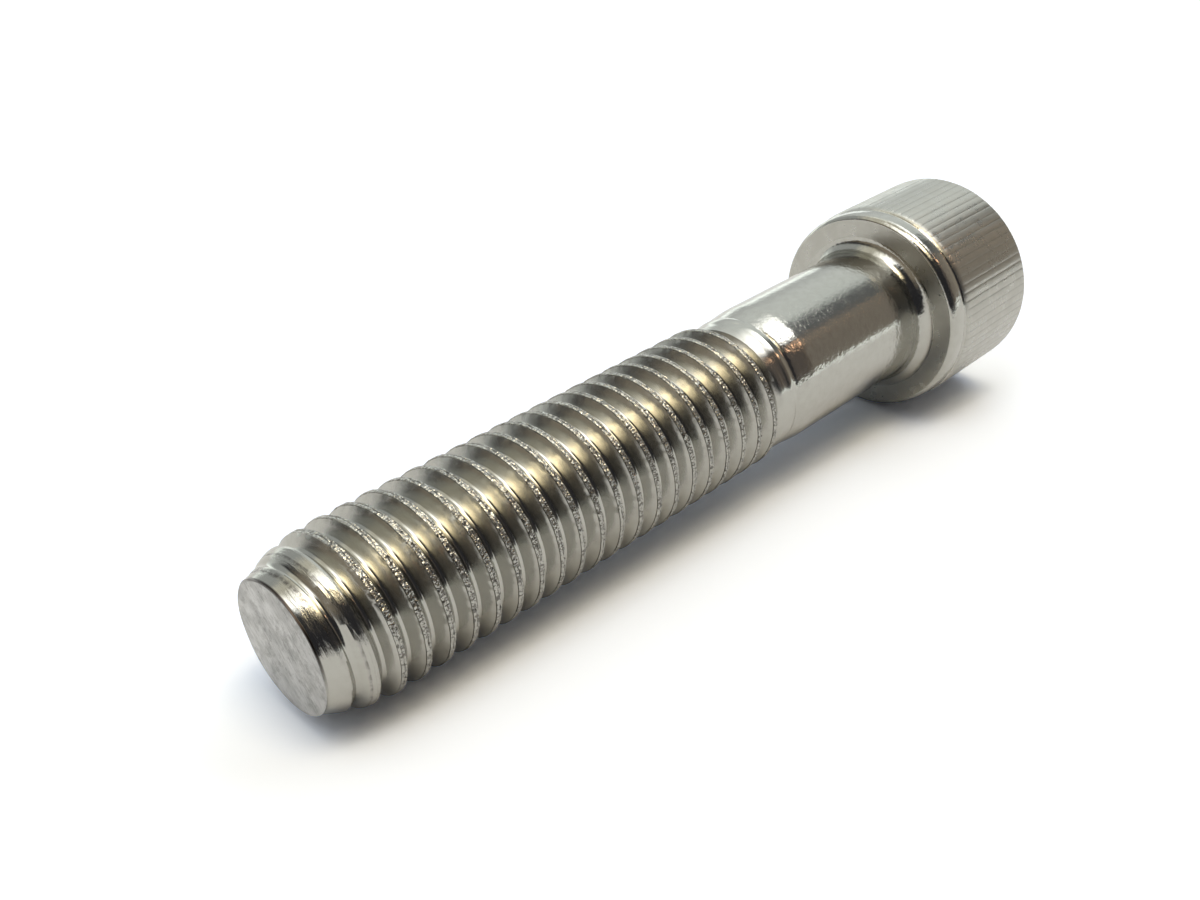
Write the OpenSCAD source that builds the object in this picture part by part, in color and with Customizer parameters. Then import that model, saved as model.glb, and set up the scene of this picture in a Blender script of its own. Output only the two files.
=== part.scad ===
// Hex socket head cap screw, 1/2-13 x 2-1/2 in, partly threaded, with a knurled head.
// One solid turned, headed and rolled piece, lying with its axis along X.
// Origin: centre of the head's bearing face. +X runs to the socket end, -X to the threaded tip, +Z up.
// All sizes in millimetres.

/* [Overall] */
// length under the head, from the bearing face to the tip face
screw_len = 63.5; // [30:0.5:100]

/* [Head] */
// head diameter over the knurl crests
head_d = 18.9; // [17:0.05:22]
// head height, bearing face to top face
head_h = 12.6; // [9:0.1:16]
// diameter of the plain band between the lower edge and the knurl
band_d = 18.6; // [16:0.05:21]
// diameter of the flat bearing face at its outer rim
bearing_d = 17.8; // [15:0.05:20]
// height of the rounded lower edge of the head
lower_edge_h = 0.95; // [0.4:0.05:2]
// chamfer leg along the axis at the top edge
top_chamfer_h = 0.4; // [0.1:0.05:1.2]
// chamfer leg along the radius at the top edge
top_chamfer_w = 0.55; // [0.1:0.05:1.5]

/* [Knurl] */
// number of straight flutes round the head
flutes = 80; // [40:1:120]
// depth of each flute below the crests
flute_depth = 0.14; // [0.05:0.01:0.4]
// share of each flute pitch left as a flat crest
flute_crest = 0.5; // [0.2:0.05:0.8]
// distance from the bearing face to the start of the knurl
knurl_start = 2.05; // [1.2:0.05:4]

/* [Socket] */
// hexagon socket, across flats
socket_af = 9.55; // [6:0.05:14]
// depth of the full hexagon from the top face
socket_depth = 6.6; // [3:0.1:9]
// mouth countersink diameter at the top face
mouth_d = 11.7; // [8:0.05:16]
// drill cone below the hexagon, depth
drill_cone_h = 2.1; // [0.5:0.1:3]

/* [Body] */
// plain body diameter
body_d = 12.3; // [10:0.05:14]
// fillet radius between the body and the bearing face
fillet_r = 1.1; // [0.4:0.05:2]
// length from the bearing face to the start of the shoulder by the thread
body_len = 15.8; // [6:0.1:30]
// length of the rounded shoulder
shoulder_len = 2.9; // [1.5:0.05:5]
// diameter at the thread end of the shoulder
shoulder_d = 11.1; // [9:0.05:12]
// share of the shoulder's length over which it rounds up to the body
shoulder_round = 0.86; // [0.3:0.01:1]

/* [Thread] */
// major diameter over the thread crests
thread_d = 12.65; // [10:0.05:14]
// thread pitch, thirteen turns to the inch
thread_pitch = 1.9538; // [1:0.0001:3]
// depth from crest to root
thread_depth = 1.1; // [0.5:0.05:1.5]
// width of the crest flat
crest_w = 0.42; // [0.1:0.01:0.7]
// width of the root flat
root_w = 0.28; // [0.1:0.01:0.6]
// tip face diameter
tip_d = 9.7; // [7:0.05:11.5]
// distance over which the tip swells to the full thread
tip_swell = 2.27; // [0.8:0.01:5]
// axial distance from the tip face to the first crest at angle zero
first_crest = 1.84; // [0:0.01:2]
// diameter of the smooth neck where the thread runs out
neck_d = 11.85; // [10:0.05:12.5]
// axial length over which the thread runs out
runout_len = 3.4; // [1:0.1:6]
// flat steps round one turn of the thread
turn_steps = 32; // [12:4:48]

/* [Hidden] */
arc_steps = 7;
shoulder_from = -80;
head_r = head_d / 2;
band_r = band_d / 2;
body_r = body_d / 2;
thread_r = thread_d / 2;
root_r = thread_r - thread_depth;
neck_r = neck_d / 2;
tip_r = tip_d / 2;
knurl_root_r = head_r - flute_depth;
core_r = knurl_root_r - 0.05;
knurl_end = head_h - top_chamfer_h;
thread_end = -(body_len + 1.1);
runout_end = -(body_len + shoulder_len) + 0.1;
runout_start = runout_end - runout_len;
bore_overlap = 0.01;

// turns a solid drawn along +Z so that it lies along +X
module along_x() {
  rotate([0, 90, 0]) children();
}

// points of a quarter turn, from angle a to angle b, about centre c, in profile coordinates [radius, height]
function arc(c, rr, rh, a, b) = [
  for (i = [0:arc_steps]) let (t = a + (b - a) * i / arc_steps) [c[0] + rr * cos(t), c[1] + rh * sin(t)]
];

// half section of the head and plain body, as [radius, height along the axis]
function blank_profile() = concat(
  [[0, -(body_len + shoulder_len)]],
  [[shoulder_d / 2, -(body_len + shoulder_len)]],
  arc([shoulder_d / 2, -body_len], body_r - shoulder_d / 2, shoulder_len * shoulder_round, shoulder_from, 0),
  arc([body_r + fillet_r, -fillet_r], fillet_r, fillet_r, 180, 90),
  arc([bearing_d / 2, lower_edge_h], band_r - bearing_d / 2, lower_edge_h, -90, 0),
  [[band_r, knurl_start - 0.28]],
  [[core_r, knurl_start + 0.25]],
  [[core_r, head_h - top_chamfer_h]],
  [[head_r - top_chamfer_w, head_h]],
  [[0, head_h]]
);

// head, fillet, plain body and shoulder turned as one piece, without the knurl
module head_core() {
  along_x() rotate_extrude($fn = 96) polygon(blank_profile());
}

// outline of the knurl: flat crests and V flutes
function knurl_outline() = [
  for (i = [0:flutes - 1])
    for (k = [[-flute_crest / 2, head_r], [flute_crest / 2, head_r], [0.5, knurl_root_r]])
      let (t = 360 * (i + k[0]) / flutes) [k[1] * cos(t), k[1] * sin(t)]
];

// straight knurl, cut back by a small cone at both ends
module knurl() {
  along_x() intersection() {
    translate([0, 0, knurl_start]) linear_extrude(head_h - knurl_start) polygon(knurl_outline());
    rotate_extrude($fn = 96) polygon([
      [0, knurl_start - 0.5],
      [band_r - 0.02, knurl_start - 0.5],
      [band_r - 0.02, knurl_start],
      [head_r + 0.05, knurl_start + 0.3],
      [head_r + 0.05, knurl_end - 0.05],
      [head_r - top_chamfer_w, head_h],
      [0, head_h]
    ]);
  }
}

// hexagon recess with a countersunk mouth and a drill cone at the bottom
module socket() {
  translate([head_h, 0, 0]) along_x() {
    translate([0, 0, -socket_depth])
      cylinder(h = socket_depth + 1, r = socket_af / sqrt(3), $fn = 6);
    translate([0, 0, -(mouth_d - socket_af) / 2])
      cylinder(h = (mouth_d - socket_af) / 2 + bore_overlap, r1 = socket_af / 2, r2 = mouth_d / 2 + bore_overlap, $fn = 96);
    translate([0, 0, -socket_depth - drill_cone_h])
      cylinder(h = drill_cone_h + bore_overlap, r1 = 0.3, r2 = socket_af / 2 - 0.05, $fn = 96);
  }
}

// smooth step from 0 to 1 as x goes from a to b
function ease(x, a, b) = let (t = min(1, max(0, (x - a) / (b - a)))) t * t * (3 - 2 * t);

// largest radius allowed at a distance s from the tip face: a swelling lead-in
function lead_in(s) = thread_r - (thread_r - tip_r) * exp(-pow(max(s, 0) / tip_swell, 1.4));

// thread surface radius for a profile radius p at axial position x
function surface_r(x, p) =
  let (
    out = ease(x, runout_start, runout_end),
    crest = thread_r + (neck_r - thread_r) * out,
    root = root_r + (neck_r - root_r) * out,
    r = root + (crest - root) * (p - root_r) / (thread_r - root_r)
  ) min(r, lead_in(x + screw_len));

// the four profile corners of one pitch: axial offset and radius
thread_corners = [
  [-crest_w / 2, thread_r],
  [crest_w / 2, thread_r],
  [(thread_pitch - root_w) / 2, root_r],
  [(thread_pitch + root_w) / 2, root_r]
];
thread_rows = 4 * ceil((screw_len + thread_end) / thread_pitch + 2);

// one point of the helical surface: step a round the turn, row j along the screw
function thread_point(a, j) =
  let (
    corner = thread_corners[j % 4],
    along = first_crest + thread_pitch * (floor(j / 4) - 2 + a / turn_steps) + corner[0] - screw_len,
    x = min(thread_end, max(-screw_len, along)),
    r = surface_r(x, corner[1]),
    t = 360 * a / turn_steps
  ) [x, r * cos(t), r * sin(t)];

// index of a point, with the seam of the last step joined one pitch further along
function thread_index(a, j) = a < turn_steps ? a * thread_rows + j : min(j + 4, thread_rows - 1);

// helical thread of the screw, right handed, with a flat tip face, lead-in and run-out
module thread() {
  points = [for (a = [0:turn_steps - 1]) for (j = [0:thread_rows - 1]) thread_point(a, j)];
  skin = [
    for (a = [0:turn_steps - 1])
      for (j = [0:thread_rows - 2])
        for (k = [0, 1])
          k == 0
            ? [thread_index(a, j), thread_index(a, j + 1), thread_index(a + 1, j + 1)]
            : [thread_index(a, j), thread_index(a + 1, j + 1), thread_index(a + 1, j)]
  ];
  tip_cap = [for (a = [0:turn_steps - 1]) thread_index(a, 0)];
  end_cap = [for (a = [turn_steps - 1:-1:0]) thread_index(a, thread_rows - 1)];
  polyhedron(points = points, faces = concat(skin, [tip_cap, end_cap]), convexity = 8);
}

module cap_screw() {
  color([0.72, 0.71, 0.68]) union() {
    difference() {
      union() {
        head_core();
        knurl();
      }
      socket();
    }
    thread();
  }
}

cap_screw();
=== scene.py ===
"""Hex socket head cap screw in stainless steel: knurled head, plain body, rolled thread, flat tip.

The screw's axis is X. The origin is the centre of the head's bearing face, the socket opens
towards +X and the tip is at -X. Sizes are in millimetres here and in metres in the meshes.
"""
import math

import bpy
import numpy as np
from mathutils import Matrix, Vector


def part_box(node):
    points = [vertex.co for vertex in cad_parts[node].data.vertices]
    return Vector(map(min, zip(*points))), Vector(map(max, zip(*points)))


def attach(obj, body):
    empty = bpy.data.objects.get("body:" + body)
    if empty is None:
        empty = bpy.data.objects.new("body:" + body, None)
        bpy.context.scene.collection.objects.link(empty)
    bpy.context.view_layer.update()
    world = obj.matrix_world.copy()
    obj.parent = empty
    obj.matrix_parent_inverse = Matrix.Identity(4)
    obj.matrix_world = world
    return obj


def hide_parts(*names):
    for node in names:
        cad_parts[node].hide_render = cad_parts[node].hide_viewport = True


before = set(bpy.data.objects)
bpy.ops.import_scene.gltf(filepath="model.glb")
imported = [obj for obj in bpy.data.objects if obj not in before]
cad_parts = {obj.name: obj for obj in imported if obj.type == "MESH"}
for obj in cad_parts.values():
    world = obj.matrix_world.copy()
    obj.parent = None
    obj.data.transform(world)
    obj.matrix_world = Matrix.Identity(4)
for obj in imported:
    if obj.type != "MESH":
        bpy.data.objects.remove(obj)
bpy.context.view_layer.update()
NODE = "cap_screw"
MM = 0.001
LOW, HIGH = (np.array(corner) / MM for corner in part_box(NODE))

# Overall sizes, from the frame. All sizes are in millimetres.
TIP_X = LOW[0]
TOP_X = HIGH[0]
HEAD_R = HIGH[2]

# Thread: crest, flanks, root, and the seam where the rolled metal meets.
PITCH = 1.9538
CREST_R = 6.325
THREAD_DEPTH = 1.10
CREST_WIDTH = 0.37
CREST_ROUND = 0.05
CREST_REACH = 0.10
FLANK_ANGLE = math.radians(30)
ROOT_R = 0.28
SEAM_OFFSET = 0.035
SEAM_WIDTH = 0.03
SEAM_DEPTH = 0.05
FIRST_CREST = 1.84
LUMP_HEIGHT = 0.008
SOFT_CORNER = 0.04

# Turns of rows that begin before the first crest, and the profile's rows that carry the fold.
EARLY_TURNS = 2
LEADING_CORNER, TRAILING_FLANK = 0, 10

# Tip: its face, the swelling lead-in, and the fold where the lead-in cuts the thread.
TIP_R = 4.85
TIP_SWELL = 2.27
TIP_SWELL_POWER = 1.4
TIP_CORNER = 0.16
FOLD_DEPTH = 0.035
RIM_REACH = 0.35
RIM_WAVE = 0.025

# Run-out and the broad last crest. The limit over the run-out climbs away to the left of it.
RUNOUT_X = -20.7
RUNOUT_END = -19.5
RUNOUT_LAP = 0.6
RUNOUT_LEAD = 0.9
LIMIT_CLIMB = 0.9
LAST_CREST_R = 5.985
LAST_CREST_SLOPE = 0.11
LAST_CREST_DROP = 0.44
LAST_GROOVE = 0.10

# Shoulder, and the shallow groove in its step.
SHOULDER_X = -18.45
SHOULDER_END = -16.05
SHOULDER_SLOPE = 0.105
SHOULDER_ROUND = 0.13
GROOVE_OFFSET = 0.10
GROOVE_HOOK = 1.25
GROOVE_WIDTH = 0.20
GROOVE_DEPTH = 0.028

# Plain body and its fillet.
BODY_R = 6.15
BODY_START = -15.6
FILLET_REACH = 1.3
FILLET_RISE = 1.15
FILLET_POWER = 2.1
BEARING_STEP = 0.3

# Head, knurl and socket.
BEARING_R = 8.88
BAND_R = 9.31
BAND_X = 0.95
KNURL_X = 1.78
FLUTES = 80
FLUTE_DEPTH = 0.017
# Share of painted shade that darkens the knurl's flutes, carried in the seam mark.
FLUTE_PAINTED_SHADE = 0.25
MOUTH_R = 5.85
SOCKET_AF = 9.55
SOCKET_DEPTH = 6.6
DRILL_DEPTH = 2.1
DRILL_STEP = 0.05

# Level of the studio, the paper's colour as the camera sees it and as it lights the metal, and
# how far the metal mirrors it as the camera sees it.
LIGHT_LEVEL = 1.2
FLOOR_SEEN = (0.98, 1.05, 1.21, 1.0)
FLOOR_TRUE = (0.76, 0.79, 0.87, 1.0)
FLOOR_MIRRORED = 0.15

# Half the floor's side and its gap under the screw, in metres.
FLOOR_HALF = 3.0
FLOOR_GAP = 0.00001

# Camera: its place in millimetres, two of its directions, and its lens.
CAMERA_PLACE = (-88.804, -55.713, 49.625)
CAMERA_FORWARD = (0.58853, 0.61094, -0.52952)
CAMERA_RIGHT = (0.70418, -0.70913, -0.03552)
CAMERA_LENS = 36.107

# Mesh density, the weld's steps in a millimetre, and the angle past which an edge stays sharp.
SHANK_COLUMNS = 160
FLUTE_COLUMNS = 6
HEAD_COLUMNS = FLUTES * FLUTE_COLUMNS
WELD_STEPS = 1e4
SHARP_ANGLE = math.radians(38)

# Material slots of the mesh, in order.
THREAD, BODY, HEAD, TIP, SOCKET = range(5)


# ---------------------------------------------------------------- small tools

def ease(x, a, b):
    """Smooth step: 0 below a, 1 above b, and t*t*(3 - 2t) between them."""
    t = np.clip((x - a) / (b - a), 0.0, 1.0)
    return t * t * (3 - 2 * t)


def soft_min(a, b, width):
    """Smaller of a and b, its corner rounded: (a + b - sqrt((a - b)^2 + width^2)) / 2."""
    return (a + b - np.sqrt((a - b) ** 2 + width ** 2)) / 2


def wave_noise(angle, along, seed, low, high, count=24):
    """Sum of count sine waves in (angle, along) with whole-number frequencies round the screw.

    Each wave is sin(k * angle + q * along + phase), with k between low and high and q up to a
    sixth of their mean, so the sum closes on itself round the screw. It has unit deviation.
    """
    rng = np.random.default_rng(seed)
    k = rng.integers(low, high + 1, count)
    q = rng.uniform(-1, 1, count) * (low + high) / 12.0
    phase = rng.uniform(0, 2 * np.pi, count)
    total = np.zeros(np.broadcast(angle, along).shape)
    for ki, qi, pi in zip(k, q, phase):
        total += np.sin(ki * angle + qi * along + pi)
    return total * math.sqrt(2.0 / count)


# ---------------------------------------------------------------- thread

def thread_profile():
    """One pitch of the rolled thread as (offset along the axis, depth below the crest, seam depth).

    From the crest's middle: a narrow crest with rounded corners, 60 degree flanks at
    depth = (offset - half crest) / tan 30, and a root that is an arc of ROOT_R tangent to both
    flanks. The crest's metal meets in a shallow seam a little past its middle.
    """
    half = CREST_WIDTH / 2
    root = PITCH / 2
    bend = np.array([-0.07, -0.015, 0.03])
    lips = SEAM_OFFSET + np.array([-0.035, 0.0, 0.035])
    flank_row = half + 0.27
    arc = root + ROOT_R * np.sin(np.radians([-60, -38, -13, 13, 38, 60]))
    offsets = np.concatenate([-half + bend, [-0.06], lips, half - bend[::-1], [flank_row],
                              arc, [PITCH - flank_row]])
    centred = np.abs(np.where(offsets > root, offsets - PITCH, offsets))
    flank = (centred - half) / math.tan(FLANK_ANGLE)
    hollow = THREAD_DEPTH - ROOT_R + np.sqrt(np.maximum(ROOT_R ** 2 - (offsets - root) ** 2, 0))
    in_root = np.abs(offsets - root) < ROOT_R * math.cos(FLANK_ANGLE) + 1e-6
    depth = np.where(in_root, hollow, flank)
    depth = (depth + np.sqrt(depth ** 2 + CREST_ROUND ** 2)) / 2
    seam = SEAM_DEPTH * np.exp(-((offsets - SEAM_OFFSET) / SEAM_WIDTH) ** 2)
    return offsets, depth, seam


def lead_in(x):
    """Largest radius near the tip: crest radius - gap to the tip's * exp(-(s / swell)^power)."""
    s = np.maximum(x - TIP_X, 0.0)
    return CREST_R - (CREST_R - TIP_R) * np.exp(-(s / TIP_SWELL) ** TIP_SWELL_POWER)


def shoulder_groove(x, degrees):
    """Depth of the shallow groove in the shoulder's step, a Gaussian across it.

    It hooks back towards the tip over a ninth of a turn, is deeper past the hook and fades at
    both ends.
    """
    back = 1 - ease(degrees, 72.0, 112.0)
    middle = SHOULDER_X + GROOVE_OFFSET - GROOVE_HOOK * back
    fade = ease(degrees, 30.0, 65.0) * (1 - ease(degrees, 230.0, 320.0))
    deeper = ease(degrees, 108.0, 138.0)
    spread = GROOVE_WIDTH + 0.08 * deeper + 0.10 * back
    return (GROOVE_DEPTH + 0.036 * deeper) * fade * np.exp(-((x - middle) / spread) ** 2)


def shoulder(x, angle):
    """Radius past the run-out: a broad last crest on a gentle slope, then a step down to the
    rounded shoulder, a cone that rolls over into the body, less the shallow groove in the step.

    The rounded shoulder is the body less slope * width * log(1 + exp(-(x - end) / width)). Left
    of the run-out the limit climbs away above the thread.
    """
    climb = LIMIT_CLIMB * ease(-x, -RUNOUT_X - 0.1, -RUNOUT_X + RUNOUT_LEAD)
    crest = LAST_CREST_R + LAST_CREST_SLOPE * (x - SHOULDER_X) + climb
    roll = np.log1p(np.exp(-(x - SHOULDER_END) / SHOULDER_ROUND))
    rise = BODY_R - SHOULDER_SLOPE * SHOULDER_ROUND * roll
    step = ease(x, SHOULDER_X - 0.18, SHOULDER_X + 0.22)
    return crest * (1 - step) + rise * step - shoulder_groove(x, np.degrees(angle))


def last_groove(x, degrees):
    """Share of the thread's depth left past the run-out: a trace on one side, short of the step."""
    side = ease(degrees, 122.0, 165.0) * (1 - ease(degrees, 240.0, 320.0))
    return LAST_GROOVE * side * (1 - ease(x, SHOULDER_X - 1.1, SHOULDER_X - 0.4))


def lead_in_fold(x, k, over):
    """Marks of the cut that the lead-in makes and of the fold of metal beside it.

    The cut grows with how far the thread stands over the lead-in. The fold lies behind the crest
    in the first ring, and before it in the next.
    """
    short = ease(over, 0.02, 0.25) * ease(x, TIP_X + 0.1, TIP_X + 0.5)
    second = ease(x, TIP_X + 1.1, TIP_X + 1.3)
    behind, before = (k == TRAILING_FLANK)[:, None], (k == LEADING_CORNER)[:, None]
    fold = behind * (1 - second) + 0.8 * before * second
    return short, fold


def thread_skin():
    """Rows of points of the thread, from the tip face's edge to the plain body.

    Row j follows the helix: x = tip + first crest + pitch * (turn + angle / 360) + offset, held
    between the tip face and the body. The radius is the smaller of two surfaces with the
    corner between them rounded: the thread profile, whose depth fades out and whose crest sinks
    in its last turn, and the swelling lead-in at the tip. Beyond the run-out it passes over into
    the shoulder. Seams, lumps and the lead-in's fold are taken off it.
    Returns the angles, x, radii, crest, seam and cut marks, and the rows in one turn.
    """
    offsets, depth, seam = thread_profile()
    rows_a_turn = len(offsets)
    turns = int(math.ceil((BODY_START - TIP_X) / PITCH)) + 1 + EARLY_TURNS
    angle = np.arange(SHANK_COLUMNS) * 2 * np.pi / SHANK_COLUMNS
    around = angle[None, :]
    j = np.arange(turns * rows_a_turn)
    turn, k = j // rows_a_turn, j % rows_a_turn
    helix = (turn - EARLY_TURNS)[:, None] * PITCH + around / (2 * np.pi) * PITCH
    winding = turn[:, None] + around / (2 * np.pi)
    depth, seam = depth[k][:, None], seam[k][:, None]

    on_crest = np.exp(-(np.maximum(depth, 0) / CREST_REACH) ** 2)
    ragged = (0.016 * wave_noise(around, winding * 3.1, seed=11, low=6, high=60)
              + 0.010 * wave_noise(around, winding * 2.3, seed=12, low=1, high=6))
    x = TIP_X + FIRST_CREST + helix + offsets[k][:, None] + ragged * on_crest
    x = np.clip(x, TIP_X, BODY_START)

    groove = CREST_R - depth * (1 - ease(x, RUNOUT_X, RUNOUT_END))
    last = (RUNOUT_X + RUNOUT_LAP - TIP_X - FIRST_CREST) / PITCH + EARLY_TURNS
    sunk = LAST_CREST_DROP * ease(winding, last - 0.8, last - 0.05)
    groove = soft_min(groove, CREST_R - sunk, SOFT_CORNER)
    top = lead_in(x)
    r = soft_min(groove, top, SOFT_CORNER + TIP_CORNER * (1 - ease(x, TIP_X + 1.0, TIP_X + 3.0)))

    short, fold = lead_in_fold(x, k, groove - top)
    uneven = 1 + 0.4 * wave_noise(around, winding, seed=31, low=3, high=20)
    r = r - FOLD_DEPTH * fold * short * uneven
    crest = on_crest * ease(top - groove, -0.5, 0.0) * (1 - ease(winding, last - 0.75, last - 0.1))
    lumps = wave_noise(around, winding * 5.7, seed=3, low=10, high=75)
    broken = 0.75 + 0.45 * wave_noise(around, winding * 4.1, seed=7, low=4, high=40)
    broken = np.clip(broken, 0, 1.6)
    r = r - seam * crest * broken - LUMP_HEIGHT * lumps * crest

    smooth = shoulder(x, around) - last_groove(x, np.degrees(around)) * depth
    r = np.where(x > RUNOUT_X - RUNOUT_LEAD, soft_min(r, smooth, SOFT_CORNER), r)
    past = ease(x, RUNOUT_END - 0.3, RUNOUT_END + 0.3)
    r = r * (1 - past) + smooth * past
    rim = np.exp(-((x - TIP_X) / RIM_REACH) ** 2)
    r = np.where(x <= TIP_X, TIP_R, np.where(x >= BODY_START, BODY_R, r))
    r = r + RIM_WAVE * rim * wave_noise(around, 0.0, seed=21, low=2, high=9)

    seam_mark = seam / SEAM_DEPTH * crest * np.clip(broken, 0, 1)
    seam_mark = np.maximum(seam_mark, 0.8 * fold * short)
    cut = np.maximum(short, ease(x, RUNOUT_X + 0.2, RUNOUT_END))
    return angle, x, r, np.stack([crest, seam_mark, cut], -1), rows_a_turn


def weld(points, faces, tags, marks):
    """Joins points that share a place to within a weld step, and drops faces that close up.

    tags are the faces' material slots and marks the points' crest, seam and cut values.
    """
    key = np.round(points * WELD_STEPS).astype(np.int64)
    _, first, inverse = np.unique(key, axis=0, return_index=True, return_inverse=True)
    inverse = inverse.reshape(-1)
    faces = inverse[faces]
    a, b, c = faces[:, 0], faces[:, 1], faces[:, 2]
    keep = (a != b) & (b != c) & (a != c)
    return points[first], faces[keep], tags[keep], marks[first]


def quads_to_triangles(a, b, c, d):
    """Two triangles for each quad a, b, c, d, given as arrays of point numbers."""
    return np.concatenate([np.stack([a, b, c], -1).reshape(-1, 3),
                           np.stack([a, c, d], -1).reshape(-1, 3)])


# ---------------------------------------------------------------- head and body

def corner(centre, radius, start, stop, steps):
    """Arc of a profile: centre + radius * (cos, sin) from start to stop degrees, as (x, r)."""
    t = np.radians(np.linspace(start, stop, steps))
    return np.stack([centre[0] + radius[0] * np.cos(t), centre[1] + radius[1] * np.sin(t)], -1)


def body_profile():
    """Profile of the plain body and its fillet as (x, r), from the thread to the bearing face.

    The fillet is a quarter of a superellipse, (1 - s)^power + (1 - t)^power = 1, so it leaves
    the body and meets the bearing face without a visible step in its curve.
    """
    inner = np.linspace(BODY_START + 0.2, -FILLET_REACH - 0.2, 7)
    straight = np.concatenate([[BODY_START + 0.08], inner, [-FILLET_REACH - 0.06, -FILLET_REACH]])
    body = np.stack([straight, np.full(len(straight), BODY_R)], -1)
    t = np.radians(np.linspace(0, 90, 15))[1:]
    along = 1 - np.cos(t) ** (2 / FILLET_POWER)
    across = 1 - np.sin(t) ** (2 / FILLET_POWER)
    fillet = np.stack([-FILLET_REACH * across, BODY_R + FILLET_RISE * along], -1)
    return np.concatenate([body, fillet])


def head_profile():
    """Profile of the head as (x, r), from the bearing face to the socket, and its flutes' share.

    The lower edge is a quarter ellipse up to the plain band, a short rounded climb leads to
    the knurl, and a chamfer closes the top.
    """
    edge = corner((BAND_X, BEARING_R), (BAND_X, BAND_R - BEARING_R), 180, 90, 15)
    band = [(BAND_X + 0.3, BAND_R), (KNURL_X - 0.2, BAND_R - 0.01),
            (KNURL_X - 0.06, BAND_R - 0.035), (KNURL_X, BAND_R - 0.04)]
    climb = [(KNURL_X + 0.08, BAND_R - 0.02), (KNURL_X + 0.2, BAND_R + 0.035),
             (KNURL_X + 0.4, HEAD_R - 0.045), (KNURL_X + 0.6, HEAD_R - 0.012)]
    flutes = [(x, HEAD_R) for x in np.linspace(KNURL_X + 0.9, TOP_X - 0.55, 5)]
    top = [(TOP_X - 0.42, HEAD_R - 0.012), (TOP_X - 0.36, HEAD_R - 0.05),
           (TOP_X - 0.06, HEAD_R - 0.42), (TOP_X, HEAD_R - 0.52)]
    face = [(TOP_X, MOUTH_R + 1.6), (TOP_X, MOUTH_R + 0.05)]
    points = np.concatenate([edge, band, climb, flutes, top, face])
    x = points[:, 0]
    share = ease(x, KNURL_X + 0.1, KNURL_X + 0.75) * (1 - ease(x, TOP_X - 0.38, TOP_X - 0.02))
    return points, share


def flute_columns():
    """Angle and depth of the knurl's columns: a flat crest, then a narrow V, no two quite alike.

    The columns crowd into the V, so their angle is (flute + place in flute) * 2 pi / flutes.
    """
    place = np.array([0.0, 0.35, 0.70, 0.76, 0.82, 0.88])
    shape = np.array([0.0, 0.0, 0.0, 0.55, 1.0, 0.5])
    rng = np.random.default_rng(5)
    shift = rng.uniform(-0.03, 0.03, FLUTES)[:, None] * (shape > 0.1)
    angle = (np.arange(FLUTES)[:, None] + place[None, :] + shift) * 2 * np.pi / FLUTES
    depth = FLUTE_DEPTH * shape[None, :] * rng.uniform(0.7, 1.15, FLUTES)[:, None]
    return angle.ravel(), depth.ravel()


def hexagon_radius(angle):
    """Distance from the axis to a hexagon with corners on +Z and -Z, at each angle from +Y."""
    turned = (angle - np.pi / 6) % (np.pi / 3) - np.pi / 6
    return SOCKET_AF / 2 / np.cos(turned)


def ring_points(x, r, angle):
    """Points at radius r and angle from +Y towards +Z, x along the axis."""
    x, r, angle = np.broadcast_arrays(x, r, angle)
    return np.stack([x, r * np.cos(angle), r * np.sin(angle)], -1)


def head_rings():
    """Rings of the head from the rim of the bearing face over the knurl and into the socket.

    The countersink runs inwards at 45 degrees until it meets the hexagon, whose walls go down to a
    flat and a drill cone.
    """
    angle = np.arange(HEAD_COLUMNS) * 2 * np.pi / HEAD_COLUMNS
    profile, share = head_profile()
    knurl_angle, depth = flute_columns()
    r = profile[:, 1][:, None] - share[:, None] * depth[None, :]
    turned = angle[None, :] + (knurl_angle - angle)[None, :] * ease(share, 0.0, 0.2)[:, None]
    outside = ring_points(profile[:, 0][:, None], r, turned)
    hexagon = hexagon_radius(angle)
    floor_x = TOP_X - SOCKET_DEPTH
    mouth_x = TOP_X - (MOUTH_R - hexagon)
    drill_r = SOCKET_AF / 2 - DRILL_STEP
    wall = np.linspace(0, 1, 3)[:, None]
    wall_x = mouth_x[None, :] * (1 - wall) + floor_x * wall
    levels = [
        ring_points(TOP_X, MOUTH_R, angle),
        ring_points(TOP_X - 0.05, MOUTH_R - 0.03, angle),
        *ring_points(wall_x, hexagon[None, :], angle[None, :]),
        ring_points(floor_x, drill_r, angle),
        ring_points(floor_x - DRILL_DEPTH * 0.5, drill_r * 0.5, angle),
        ring_points(floor_x - DRILL_DEPTH * 0.94, drill_r * 0.06, angle),
    ]
    marks = np.zeros((len(profile) + len(levels), HEAD_COLUMNS, 3))
    # Painted shade in the knurl's flutes, carried in the seam mark, more in deeper flutes.
    marks[:len(profile), :, 1] = share[:, None] * depth[None, :] / FLUTE_DEPTH * FLUTE_PAINTED_SHADE
    slots = np.where(profile[:, 0] < KNURL_X + 0.15, BODY, HEAD).tolist()
    slots += [SOCKET] * (len(levels) - 1)
    return np.concatenate([outside, np.stack(levels)]), slots, marks


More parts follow.
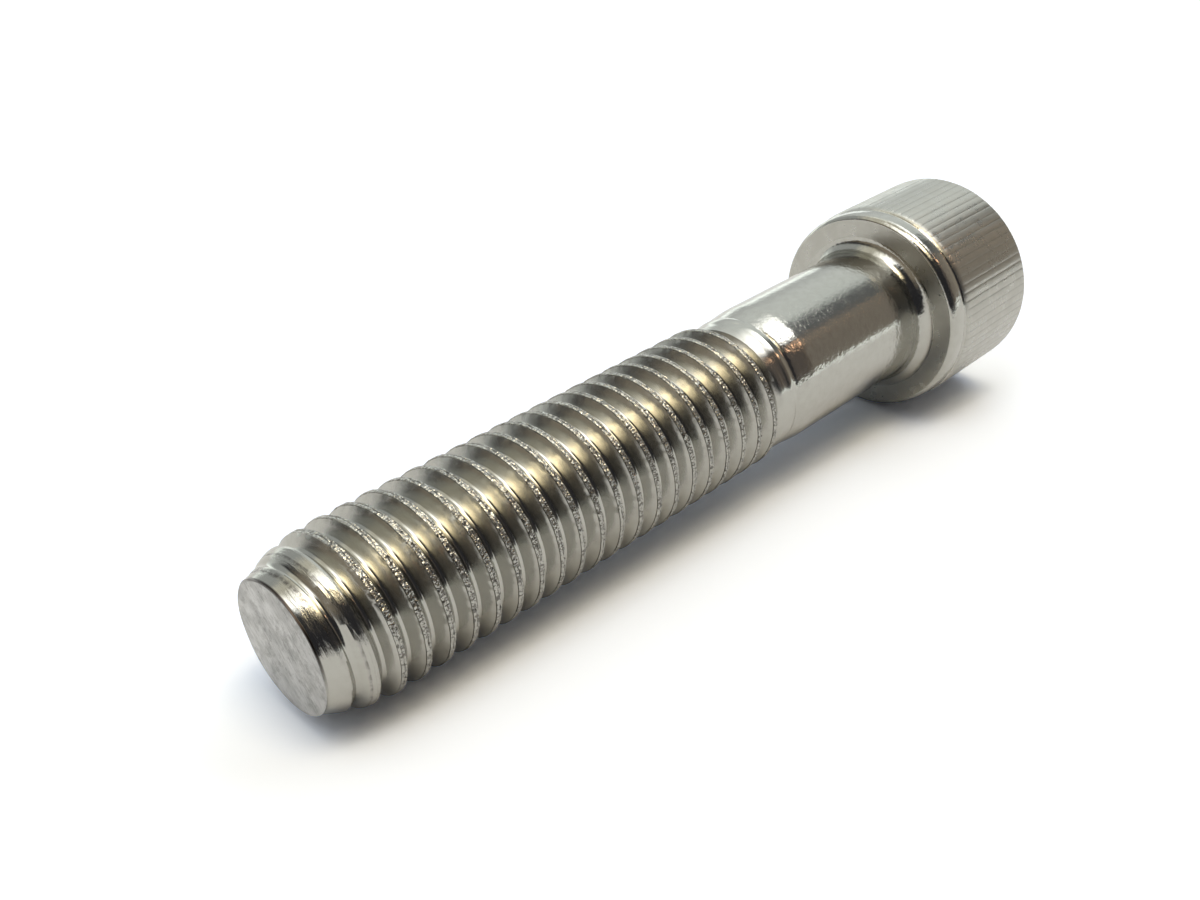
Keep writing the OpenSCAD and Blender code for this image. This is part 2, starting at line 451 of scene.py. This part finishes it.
def screw_surface():
    """Whole skin of the screw as (points, triangles, slots, marks), in millimetres.

    The helical thread rows come first, and rings and a fan close the tip face. Rings follow for
    the body and the bearing face, then a strip that splits each shank column in three, the
    head's finer rings, and a fan at the bottom of the socket. The marks are crest, seam and cut;
    on the head the seam mark carries painted shade in the knurl's flutes.
    """
    points, marks, faces, tags = [], [], [], []
    total = 0

    def add(block, mark=None):
        """Adds points, with their marks or none, and returns the number of the first."""
        nonlocal total
        block = block.reshape(-1, 3)
        start = total
        points.append(block)
        marks.append(np.zeros((len(block), 3)) if mark is None else np.reshape(mark, (-1, 3)))
        total += len(block)
        return start

    def join(triangles, slot):
        """Adds triangles of one material slot."""
        faces.append(triangles)
        tags.append(np.full(len(triangles), slot))

    def strip(a, b, columns, slot):
        """Joins two closed rings that start at points a and b."""
        here = np.arange(columns)
        after = (here + 1) % columns
        join(quads_to_triangles(a + here, b + here, b + after, a + after), slot)

    def grid(start, rows, columns, slots):
        """Joins rows of closed rings with the same number of columns."""
        for row in range(rows - 1):
            strip(start + row * columns, start + (row + 1) * columns, columns, slots[row])

    angle, x, r, marked, rows_a_turn = thread_skin()
    rows = len(x)
    thread = add(ring_points(x, r, angle[None, :]), marked)
    column = np.arange(SHANK_COLUMNS)
    column_next = (column + 1) % SHANK_COLUMNS
    row = np.arange(rows - 1)[:, None]
    ahead = np.where(column_next == 0, rows_a_turn, 0)[None, :]
    here_next = np.minimum(row + ahead, rows - 1)
    up_next = np.minimum(row + 1 + ahead, rows - 1)
    a = thread + row * SHANK_COLUMNS + column
    b = thread + (row + 1) * SHANK_COLUMNS + column
    c = thread + up_next * SHANK_COLUMNS + column_next
    d = thread + here_next * SHANK_COLUMNS + column_next
    skin = quads_to_triangles(a, b, c, d)
    beyond = (x.ravel()[skin - thread] > SHOULDER_X).all(axis=1)
    join(skin[~beyond], THREAD)
    join(skin[beyond], BODY)

    face_rings = [0.985, 0.95, 0.8, 0.55, 0.3, 0.1]
    face = add(np.concatenate([ring_points(TIP_X, r[0] * share, angle) for share in face_rings]))
    rings = [thread] + [face + k * SHANK_COLUMNS for k in range(len(face_rings))]
    for outer, inner in zip(rings, rings[1:]):
        join(quads_to_triangles(outer + column, outer + column_next,
                                inner + column_next, inner + column), TIP)
    centre = add(np.array([[TIP_X, 0.0, 0.0]]))
    join(np.stack([inner + column, inner + column_next, np.full(SHANK_COLUMNS, centre)], -1), TIP)

    profile = body_profile()
    body = add(ring_points(profile[:, 0][:, None], profile[:, 1][:, None], angle[None, :]))
    strip(thread + (rows - 1) * SHANK_COLUMNS, body, SHANK_COLUMNS, BODY)
    grid(body, len(profile), SHANK_COLUMNS, [BODY] * len(profile))
    bearing = add(ring_points(0.0, BODY_R + FILLET_RISE + BEARING_STEP, angle))
    strip(body + (len(profile) - 1) * SHANK_COLUMNS, bearing, SHANK_COLUMNS, HEAD)

    rings, slots, marked = head_rings()
    head = add(rings, marked)
    split = HEAD_COLUMNS // SHANK_COLUMNS
    low, low_next = bearing + column, bearing + column_next
    fine = [head + (column * split + k) % HEAD_COLUMNS for k in range(split + 1)]
    middle = split // 2
    for k in range(split):
        near = low if k <= middle else low_next
        join(np.stack([near, fine[k], fine[k + 1]], -1), HEAD)
        if k == middle:
            join(np.stack([low, fine[k + 1], low_next], -1), HEAD)
    grid(head, len(rings), HEAD_COLUMNS, slots)
    bottom = head + (len(rings) - 1) * HEAD_COLUMNS
    drill_point = add(np.array([[TOP_X - SOCKET_DEPTH - DRILL_DEPTH, 0.0, 0.0]]))
    around = np.arange(HEAD_COLUMNS)
    after = (around + 1) % HEAD_COLUMNS
    join(np.stack([bottom + around, np.full(HEAD_COLUMNS, drill_point), bottom + after], -1), SOCKET)
    return weld(*(np.concatenate(parts) for parts in (points, faces, tags, marks)))


def outwards(points, triangles):
    """Turns every triangle over if the closed surface's signed volume is negative."""
    p = points[triangles]
    volume = np.einsum("ij,ij->i", p[:, 0], np.cross(p[:, 1], p[:, 2])).sum()
    return triangles if volume > 0 else triangles[:, ::-1]


def make_screw(materials):
    """Puts the screw's surface into one mesh, with its crest, seam and cut marks as attributes."""
    points, triangles, slots, marks = screw_surface()
    triangles = outwards(points, triangles)
    mesh = bpy.data.meshes.new("cap_screw_skin")
    mesh.vertices.add(len(points))
    mesh.vertices.foreach_set("co", (points * MM).astype(np.float32).ravel())
    mesh.loops.add(triangles.size)
    mesh.loops.foreach_set("vertex_index", triangles.astype(np.int32).ravel())
    mesh.polygons.add(len(triangles))
    mesh.polygons.foreach_set("loop_start", np.arange(0, triangles.size, 3, dtype=np.int32))
    mesh.polygons.foreach_set("material_index", slots.astype(np.int32))
    mesh.update(calc_edges=True)
    mesh.validate()
    mesh.polygons.foreach_set("use_smooth", np.ones(len(mesh.polygons), bool))
    # The seam attribute also carries the painted shade of the knurl's flutes.
    for column, name in enumerate(("crest", "seam", "cut")):
        values = np.ascontiguousarray(marks[:, column], dtype=np.float32)
        mesh.attributes.new(name, "FLOAT", "POINT").data.foreach_set("value", values)
    mesh.set_sharp_from_angle(angle=SHARP_ANGLE)
    for material in materials:
        mesh.materials.append(material)
    screw = bpy.data.objects.new("cap_screw_skin", mesh)
    bpy.context.scene.collection.objects.link(screw)
    print("cap_screw_skin:", len(points), "points,", len(triangles), "triangles")
    return screw, points


# ---------------------------------------------------------------- materials

STEEL_LIGHT = (0.48, 0.475, 0.44, 1.0)
STEEL_DARK = (0.40, 0.39, 0.355, 1.0)
# Colour of dark seams, folds, specks and scratches, and of painted shade in the knurl's flutes and on
# the tip's rim.
MARK_AND_SHADE_DARK = (0.05, 0.042, 0.04, 1.0)
TIP_LIGHT = (0.60, 0.60, 0.59, 1.0)
TIP_DARK = (0.36, 0.36, 0.355, 1.0)
SOCKET_LIGHT = (0.53, 0.52, 0.48, 1.0)
SOCKET_DARK = (0.36, 0.35, 0.33, 1.0)

# Height of the thread's torn crests and of the tip face's scratches, in metres.
TORN_HEIGHT = 0.00011
SCRATCH_HEIGHT = 0.000032


def put(tree, kind, inputs=None, **settings):
    """Adds a node, sets its properties, and sets or links its inputs by name or number."""
    made = tree.nodes.new(kind)
    for name, value in settings.items():
        setattr(made, name, value)
    for name, value in (inputs or {}).items():
        if isinstance(value, bpy.types.NodeSocket):
            tree.links.new(value, made.inputs[name])
        else:
            made.inputs[name].default_value = value
    return made


def math_node(tree, operation, a, b=0.0, clamp=False):
    """One Math node's result."""
    return put(tree, "ShaderNodeMath", {0: a, 1: b}, operation=operation, use_clamp=clamp).outputs[0]


def plus(tree, a, b, clamp=False):
    """a + b."""
    return math_node(tree, "ADD", a, b, clamp)


def times(tree, a, b):
    """a * b."""
    return math_node(tree, "MULTIPLY", a, b)


def larger(tree, a, b, clamp=False):
    """Larger of a and b."""
    return math_node(tree, "MAXIMUM", a, b, clamp)


def vector_node(tree, operation, inputs, output=0):
    """One Vector Math node's result, from its inputs by number or name."""
    return put(tree, "ShaderNodeVectorMath", inputs, operation=operation).outputs[output]


def remap(tree, value, low, high, to_low=0.0, to_high=1.0):
    """Value mapped from low..high to to_low..to_high, smooth and clamped."""
    return put(tree, "ShaderNodeMapRange",
               {"Value": value, "From Min": low, "From Max": high, "To Min": to_low, "To Max": to_high},
               interpolation_type="SMOOTHSTEP").outputs[0]


def noise(tree, vector, scale, detail=3.0, rough=0.5):
    """Noise texture's factor, with scale in features per metre."""
    return put(tree, "ShaderNodeTexNoise",
               {"Vector": vector, "Scale": scale, "Detail": detail, "Roughness": rough}).outputs["Fac"]


def mix_colour(tree, factor, a, b):
    """Colour a turned to b by the factor."""
    made = put(tree, "ShaderNodeMix", {"Factor": factor, "A": a, "B": b}, data_type="RGBA")
    return made.outputs["Result"]


def object_place(tree):
    """Object coordinates."""
    return put(tree, "ShaderNodeTexCoord").outputs["Object"]


def from_axis(tree, place):
    """Distance from the screw's axis: the length of (0, y, z)."""
    across = vector_node(tree, "MULTIPLY", {0: place, 1: (0.0, 1.0, 1.0)})
    return vector_node(tree, "LENGTH", {0: across}, "Value")


def mark(tree, name):
    """Value of one of the mesh's marks."""
    return put(tree, "ShaderNodeAttribute", attribute_name=name).outputs["Fac"]


def new_group(name, inputs, outputs):
    """A shader node group with named inputs (name, default) and outputs (name, socket type)."""
    group = bpy.data.node_groups.new(name, "ShaderNodeTree")
    for label, default in inputs:
        kind = "NodeSocketColor" if isinstance(default, tuple) else "NodeSocketFloat"
        group.interface.new_socket(label, in_out="INPUT", socket_type=kind).default_value = default
    for label, kind in outputs:
        group.interface.new_socket(label, in_out="OUTPUT", socket_type=kind)
    entry = group.nodes.new("NodeGroupInput")
    leave = group.nodes.new("NodeGroupOutput")
    return group, entry, leave


def grain_group():
    """Metal grain from noise in object coordinates: a clouded colour, a fine height and the cloud.

    Colour = Light mixed towards Dark by cloud * Contrast. Height = fine noise - Pits * sparse
    dark pits, which darken the colour too.
    """
    group, entry, leave = new_group(
        "steel_grain",
        [("Grain Scale", 5200.0), ("Cloud Scale", 700.0), ("Dark", STEEL_DARK), ("Light", STEEL_LIGHT),
         ("Contrast", 0.5), ("Pits", 0.0)],
        [("Color", "NodeSocketColor"), ("Height", "NodeSocketFloat"), ("Cloud", "NodeSocketFloat")])
    place = object_place(group)
    fine = noise(group, place, entry.outputs["Grain Scale"], 2.0, 0.6)
    cloud = remap(group, noise(group, place, entry.outputs["Cloud Scale"], 5.0, 0.6), 0.32, 0.68)
    pits = remap(group, noise(group, place, 2600.0, 2.0), 0.66, 0.74)
    deep = times(group, pits, entry.outputs["Pits"])
    clouded = times(group, cloud, entry.outputs["Contrast"])
    amount = plus(group, clouded, times(group, deep, 0.5), clamp=True)
    colour = mix_colour(group, amount, entry.outputs["Light"], entry.outputs["Dark"])
    group.links.new(colour, leave.inputs["Color"])
    group.links.new(math_node(group, "SUBTRACT", fine, deep), leave.inputs["Height"])
    group.links.new(cloud, leave.inputs["Cloud"])
    return group


def put_grain(tree, grain, grain_scale, cloud_scale, dark, light, contrast, pits=0.0):
    """Adds the grain group with its own values."""
    return put(tree, "ShaderNodeGroup",
               {"Grain Scale": grain_scale, "Cloud Scale": cloud_scale, "Dark": dark, "Light": light,
                "Contrast": contrast, "Pits": pits}, node_tree=grain)


def steel(name, base, roughness):
    """A metal material with its shader, ready for colour, roughness and normal."""
    material = bpy.data.materials.new(name)
    material.use_nodes = True
    tree = material.node_tree
    shader = tree.nodes["Principled BSDF"]
    shader.inputs["Base Color"].default_value = (*base[:3], 1.0)
    shader.inputs["Metallic"].default_value = 1.0
    shader.inputs["Roughness"].default_value = roughness
    material.diffuse_color = (*base[:3], 1.0)
    return material, tree, shader


def finish(tree, shader, colour, roughness, height, distance):
    """Links the shader's colour, its roughness, and its normal through a bump of the height."""
    bump = put(tree, "ShaderNodeBump", {"Height": height, "Strength": 1.0, "Distance": distance})
    tree.links.new(bump.outputs[0], shader.inputs["Normal"])
    tree.links.new(colour, shader.inputs["Base Color"])
    tree.links.new(roughness, shader.inputs["Roughness"])


def grained(name, made_from, roughness, bump_mm):
    """Steel with the grain group on it, darker where the seam mark shows a flute.

    Roughness goes from the first to the second value with the cloud. On the head, the darkening
    by the seam mark is painted shade in the knurl's flutes.
    """
    grain, grain_scale, cloud_scale, dark, light, contrast, pits = made_from
    material, tree, shader = steel(name, light, sum(roughness) / 2)
    made = put_grain(tree, grain, grain_scale, cloud_scale, dark, light, contrast, pits)
    # On the head the seam mark darkens the colour with painted shade in the knurl's flutes.
    colour = mix_colour(tree, mark(tree, "seam"), made.outputs["Color"], MARK_AND_SHADE_DARK)
    finish(tree, shader, colour, remap(tree, made.outputs["Cloud"], 0.0, 1.0, *roughness),
           made.outputs["Height"], bump_mm * MM)
    return material


def rim_shade_side(tree, place):
    """Mask of the side of the tip's rim that is rolled over, towards one direction off the axis."""
    # Painted shade: this mask darkens the tip's rim, most of all towards this one direction.
    towards = vector_node(tree, "DOT_PRODUCT", {0: place, 1: (0.0, -0.45, 0.89)}, "Value")
    return remap(tree, towards, 0.25 * TIP_R * MM, 0.85 * TIP_R * MM, 0.12, 1.0)


def thread_steel(grain):
    """Rolled thread: satin flanks, bright roots, torn crests, dark broken seams, a smooth lead-in.

    The crest, seam and cut marks say where, and the root is where the distance from the axis is
    short. The torn crests' height is two noises added, with 5600 and 2600 features per metre. The
    lead-in carries fine streaks round the axis, from a noise squeezed nine times along it, that
    fade out 5 mm from the tip. Crests are specked with dark, and the seam darkens the colour most
    where its own noise is high. Painted shade darkens the tip's rolled-over rim, most on one side.
    """
    material, tree, shader = steel("rolled_thread_steel", STEEL_LIGHT, 0.22)
    made = put_grain(tree, grain, 5600.0, 1500.0, STEEL_DARK, STEEL_LIGHT, 0.25)
    place = object_place(tree)
    along_axis = put(tree, "ShaderNodeSeparateXYZ", {0: place}).outputs["X"]
    root_r = CREST_R - THREAD_DEPTH
    root = remap(tree, from_axis(tree, place), (root_r + 0.05) * MM, (root_r + 0.25) * MM, 1.0, 0.0)
    crest = remap(tree, mark(tree, "crest"), 0.15, 0.75)
    seam, cut = mark(tree, "seam"), mark(tree, "cut")

    torn = times(tree, noise(tree, place, 2600.0, 0.0), 0.8)
    torn = plus(tree, noise(tree, place, 5600.0, 1.0), torn)
    squeezed = vector_node(tree, "MULTIPLY", {0: place, 1: (9.0, 1.0, 1.0)})
    near_tip = remap(tree, along_axis, (TIP_X + 3.5) * MM, (TIP_X + 5.0) * MM, 0.55, 0.0)
    streaks = times(tree, noise(tree, squeezed, 620.0, 4.0, 0.65), near_tip)
    height = plus(tree, times(tree, torn, crest), times(tree, made.outputs["Height"], 0.015))
    height = plus(tree, height, times(tree, streaks, cut))

    # Darker specks on the crests.
    speck = remap(tree, noise(tree, place, 5200.0, 1.0), 0.50, 0.62)
    crest_specks = times(tree, crest, times(tree, speck, 0.65))
    gaps = remap(tree, noise(tree, place, 3000.0, 2.0), 0.38, 0.6, 0.35, 1.0)
    # Painted shade along the tip's rim, strongest on one side.
    tip_rim_shade = remap(tree, along_axis, (TIP_X + 0.10) * MM, (TIP_X + 0.20) * MM, 1.0, 0.0)
    rim = times(tree, tip_rim_shade, rim_shade_side(tree, place))
    dark = larger(tree, larger(tree, crest_specks, times(tree, seam, gaps)), rim, clamp=True)
    colour = mix_colour(tree, dark, made.outputs["Color"], MARK_AND_SHADE_DARK)

    satin = remap(tree, made.outputs["Cloud"], 0.0, 1.0, 0.22, 0.27)
    shiny = larger(tree, larger(tree, root, cut), times(tree, crest, 0.85))
    polish = put(tree, "ShaderNodeMix", {"Factor": shiny, "A": satin, "B": 0.14}).outputs["Result"]
    finish(tree, shader, colour, plus(tree, polish, times(tree, dark, 0.2)), height, TORN_HEIGHT)
    return material


def tip_steel(grain):
    """Sawn and tumbled tip face: matt, with slanting scratches, a few pits, smudges and a dark rim.

    Scratches are a noise squeezed twelve times across one slanting line in the face; smudges are
    a broad noise. Both darken the grain's colour. Painted shade darkens the rim, most of all on its
    rolled side.
    """
    material, tree, shader = steel("cut_tip_steel", (0.55, 0.55, 0.545), 0.38)
    made = put_grain(tree, grain, 5200.0, 600.0, TIP_DARK, TIP_LIGHT, 0.6, 0.5)
    place = object_place(tree)
    slanted = put(tree, "ShaderNodeVectorRotate",
                  {"Vector": place, "Axis": (1.0, 0.0, 0.0), "Angle": math.radians(40)}).outputs[0]
    drawn = vector_node(tree, "MULTIPLY", {0: slanted, 1: (1.0, 12.0, 1.0)})
    scratch = remap(tree, noise(tree, drawn, 800.0, 2.0, 0.6), 0.54, 0.60)
    smudge = remap(tree, noise(tree, place, 700.0, 6.0, 0.8), 0.50, 0.60)
    # Painted shade along the face's rim, strongest on one side.
    face_rim_shade = remap(tree, from_axis(tree, place), (TIP_R - 0.20) * MM, (TIP_R - 0.10) * MM)
    worn = plus(tree, times(tree, scratch, 0.26), times(tree, smudge, 0.28))
    dark = larger(tree, worn, times(tree, face_rim_shade, rim_shade_side(tree, place)), clamp=True)
    height = math_node(tree, "SUBTRACT", made.outputs["Height"], times(tree, scratch, 0.3))
    finish(tree, shader, mix_colour(tree, dark, made.outputs["Color"], MARK_AND_SHADE_DARK),
           remap(tree, made.outputs["Cloud"], 0.0, 1.0, 0.32, 0.44), height, SCRATCH_HEIGHT)
    return material


def make_materials():
    """The screw's finishes in slot order: thread, bright body, knurled head, cut tip, socket."""
    grain = grain_group()
    body = (grain, 2200.0, 1300.0, STEEL_DARK, STEEL_LIGHT, 0.35, 0.0)
    head = (grain, 2000.0, 800.0, STEEL_DARK, STEEL_LIGHT, 0.4, 0.0)
    socket = (grain, 3800.0, 700.0, SOCKET_DARK, SOCKET_LIGHT, 0.5, 0.2)
    return [
        thread_steel(grain),
        grained("bright_body_steel", body, (0.12, 0.17), 0.024),
        grained("knurled_head_steel", head, (0.27, 0.33), 0.003),
        tip_steel(grain),
        grained("pressed_socket_steel", socket, (0.28, 0.38), 0.006),
    ]


# ---------------------------------------------------------------- stage

def resting_slope(points):
    """Slope of the floor under the lying screw, in the X-Z plane, and where the head touches it.

    The floor is the line under both the head and the thread near the tip. Each pass takes the
    lowest point of each for the present slope and lays the line through the two.
    """
    radius = np.hypot(points[:, 1], points[:, 2])
    head, thread = points[:, 0] > 0, points[:, 0] < -50
    hx, hr = points[head][:, 0], radius[head]
    tx, tr = points[thread][:, 0], radius[thread]
    slope = 0.05
    for _ in range(20):
        i = np.argmin(slope * hx - hr)
        k = np.argmin(slope * tx - tr)
        slope = (hr[i] - tr[k]) / (hx[i] - tx[k])
    return slope, hx[i], -hr[i]


def make_floor(points):
    """Large pale floor, tilted so that the screw's head and thread both touch it."""
    slope, x, z = resting_slope(points)
    tilt = math.atan(slope)
    along = Vector((math.cos(tilt), 0.0, -math.sin(tilt)))
    normal = Vector((math.sin(tilt), 0.0, math.cos(tilt)))
    across = Vector((0.0, 1.0, 0.0))
    middle = Vector((x, 0.0, z)) * MM - normal * FLOOR_GAP
    corners = [middle + along * a * FLOOR_HALF + across * b * FLOOR_HALF
               for a, b in ((-1, -1), (1, -1), (1, 1), (-1, 1))]
    mesh = bpy.data.meshes.new("floor")
    mesh.from_pydata([tuple(c) for c in corners], [], [(0, 1, 2, 3)])
    mesh.update()
    floor = bpy.data.objects.new("floor", mesh)
    bpy.context.scene.collection.objects.link(floor)
    material = bpy.data.materials.new("white_floor")
    material.use_nodes = True
    tree = material.node_tree
    tree.nodes.remove(tree.nodes["Principled BSDF"])
    rays = put(tree, "ShaderNodeLightPath")
    mirrored = times(tree, rays.outputs["Is Glossy Ray"], FLOOR_MIRRORED)
    direct = larger(tree, rays.outputs["Is Camera Ray"], mirrored)
    colour = mix_colour(tree, direct, FLOOR_TRUE, FLOOR_SEEN)
    paper = put(tree, "ShaderNodeBsdfDiffuse", {"Color": colour})
    tree.links.new(paper.outputs[0], tree.nodes["Material Output"].inputs["Surface"])
    mesh.materials.append(material)
    return floor


def window(tree, value, rise, fall):
    """Mask of value: 0 to 1 over the rise, 1 to 0 over the fall; either may be None."""
    up = remap(tree, value, rise[0], rise[1]) if rise else 1.0
    down = remap(tree, value, fall[0], fall[1], 1.0, 0.0) if fall else 1.0
    return times(tree, up, down)


# The studio's lights: colour, then where it rises and falls in turn, and in reach.
LIGHTS = [
    # dim room, everywhere
    ((0.028, 0.028, 0.032), None, None, None, None),
    # ceiling panel over the thread, and its warm rim
    ((2.40, 2.42, 2.40), (63, 96), (96, 106), (-0.98, -0.46), (0.08, 0.25)),
    ((0.45, 0.42, 0.32), (40, 56), (87, 96), (-0.81, -0.57), (0.47, 0.53)),
    # warm lamp on the near side of the ceiling
    ((8.6, 7.3, 4.9), (90, 99), (98, 129), (-0.24, 0.13), (0.27, 0.40)),
    # panel over the head
    ((4.4, 4.35, 4.3), (56, 106), (108, 122), (0.49, 0.57), (0.62, 0.67)),
    # pale far wall, and its brighter foot
    ((0.40, 0.42, 0.41), None, (29, 92), (-0.64, -0.47), None),
    ((1.05, 1.13, 1.08), None, (1, 16), (-0.75, 0.32), (0.81, 0.90)),
    # far part of the ceiling, beyond the head
    ((0.63, 0.67, 0.65), (-7, 80), (80, 101), (0.38, 0.44), None),
    # the room beyond the head, near side, and behind the tip
    ((0.10, 0.11, 0.11), (60, 100), None, (0.60, 0.72), None),
    ((0.105, 0.068, 0.034), (116, 124), None, (0.58, 0.68), None),
    ((0.088, 0.072, 0.058), (116, 124), None, (0.40, 0.50), (0.58, 0.68)),
    ((0.08, 0.07, 0.05), (60, 128), None, (0.76, 0.90), None),
    ((0.26, 0.22, 0.16), None, (124, 152), None, (-0.86, -0.66)),
    # small copper-coloured lamp
    ((9.0, 5.2, 3.0), (124, 127), (129, 132), (0.59, 0.62), (0.63, 0.66)),
]


def make_world():
    """Soft studio round the screw, white to the camera.

    A light is placed by two numbers of the direction looked at: turn, the angle in degrees
    round the screw's axis from +Y up to the zenith at 90 and down to -Y at 180, and reach, the
    direction's x. Each light is its colour times a soft window in turn and one in reach.
    """
    world = bpy.data.worlds.new("studio")
    bpy.context.scene.world = world
    world.use_nodes = True
    tree = world.node_tree
    back = tree.nodes["Background"]
    looked_at = put(tree, "ShaderNodeTexCoord").outputs["Generated"]
    reach, y, z = put(tree, "ShaderNodeSeparateXYZ", {0: looked_at}).outputs
    turn = times(tree, math_node(tree, "ARCTAN2", z, y), 180 / math.pi)
    total = None
    for colour, turn_rise, turn_fall, reach_rise, reach_fall in LIGHTS:
        mask = times(tree, window(tree, turn, turn_rise, turn_fall),
                     window(tree, reach, reach_rise, reach_fall))
        light = vector_node(tree, "SCALE", {0: colour, "Scale": mask})
        total = light if total is None else vector_node(tree, "ADD", {0: total, 1: light})
    seen = put(tree, "ShaderNodeLightPath").outputs["Is Camera Ray"]
    tree.links.new(mix_colour(tree, seen, total, (1.0, 1.0, 1.0, 1.0)), back.inputs["Color"])
    back.inputs["Strength"].default_value = LIGHT_LEVEL


def make_camera():
    """Camera above and beyond the tip, looking along the screw with the head to the upper right."""
    data = bpy.data.cameras.new("camera")
    data.sensor_width = 36.0
    data.lens = CAMERA_LENS
    data.clip_start = 0.005
    data.clip_end = 50.0
    camera = bpy.data.objects.new("camera", data)
    bpy.context.scene.collection.objects.link(camera)
    forward = Vector(CAMERA_FORWARD)
    right = Vector(CAMERA_RIGHT)
    up = right.cross(forward)
    turn = Matrix((right, up, -forward)).transposed()
    camera.matrix_world = Matrix.Translation(Vector(CAMERA_PLACE) * MM) @ turn.normalized().to_4x4()
    bpy.context.scene.camera = camera


def make_scene():
    """Builds the screw, its materials and the stage."""
    screw, points = make_screw(make_materials())
    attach(screw, "root")
    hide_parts(NODE)
    make_floor(points)
    make_world()
    make_camera()
    bpy.context.scene.view_settings.view_transform = "Standard"


make_scene()
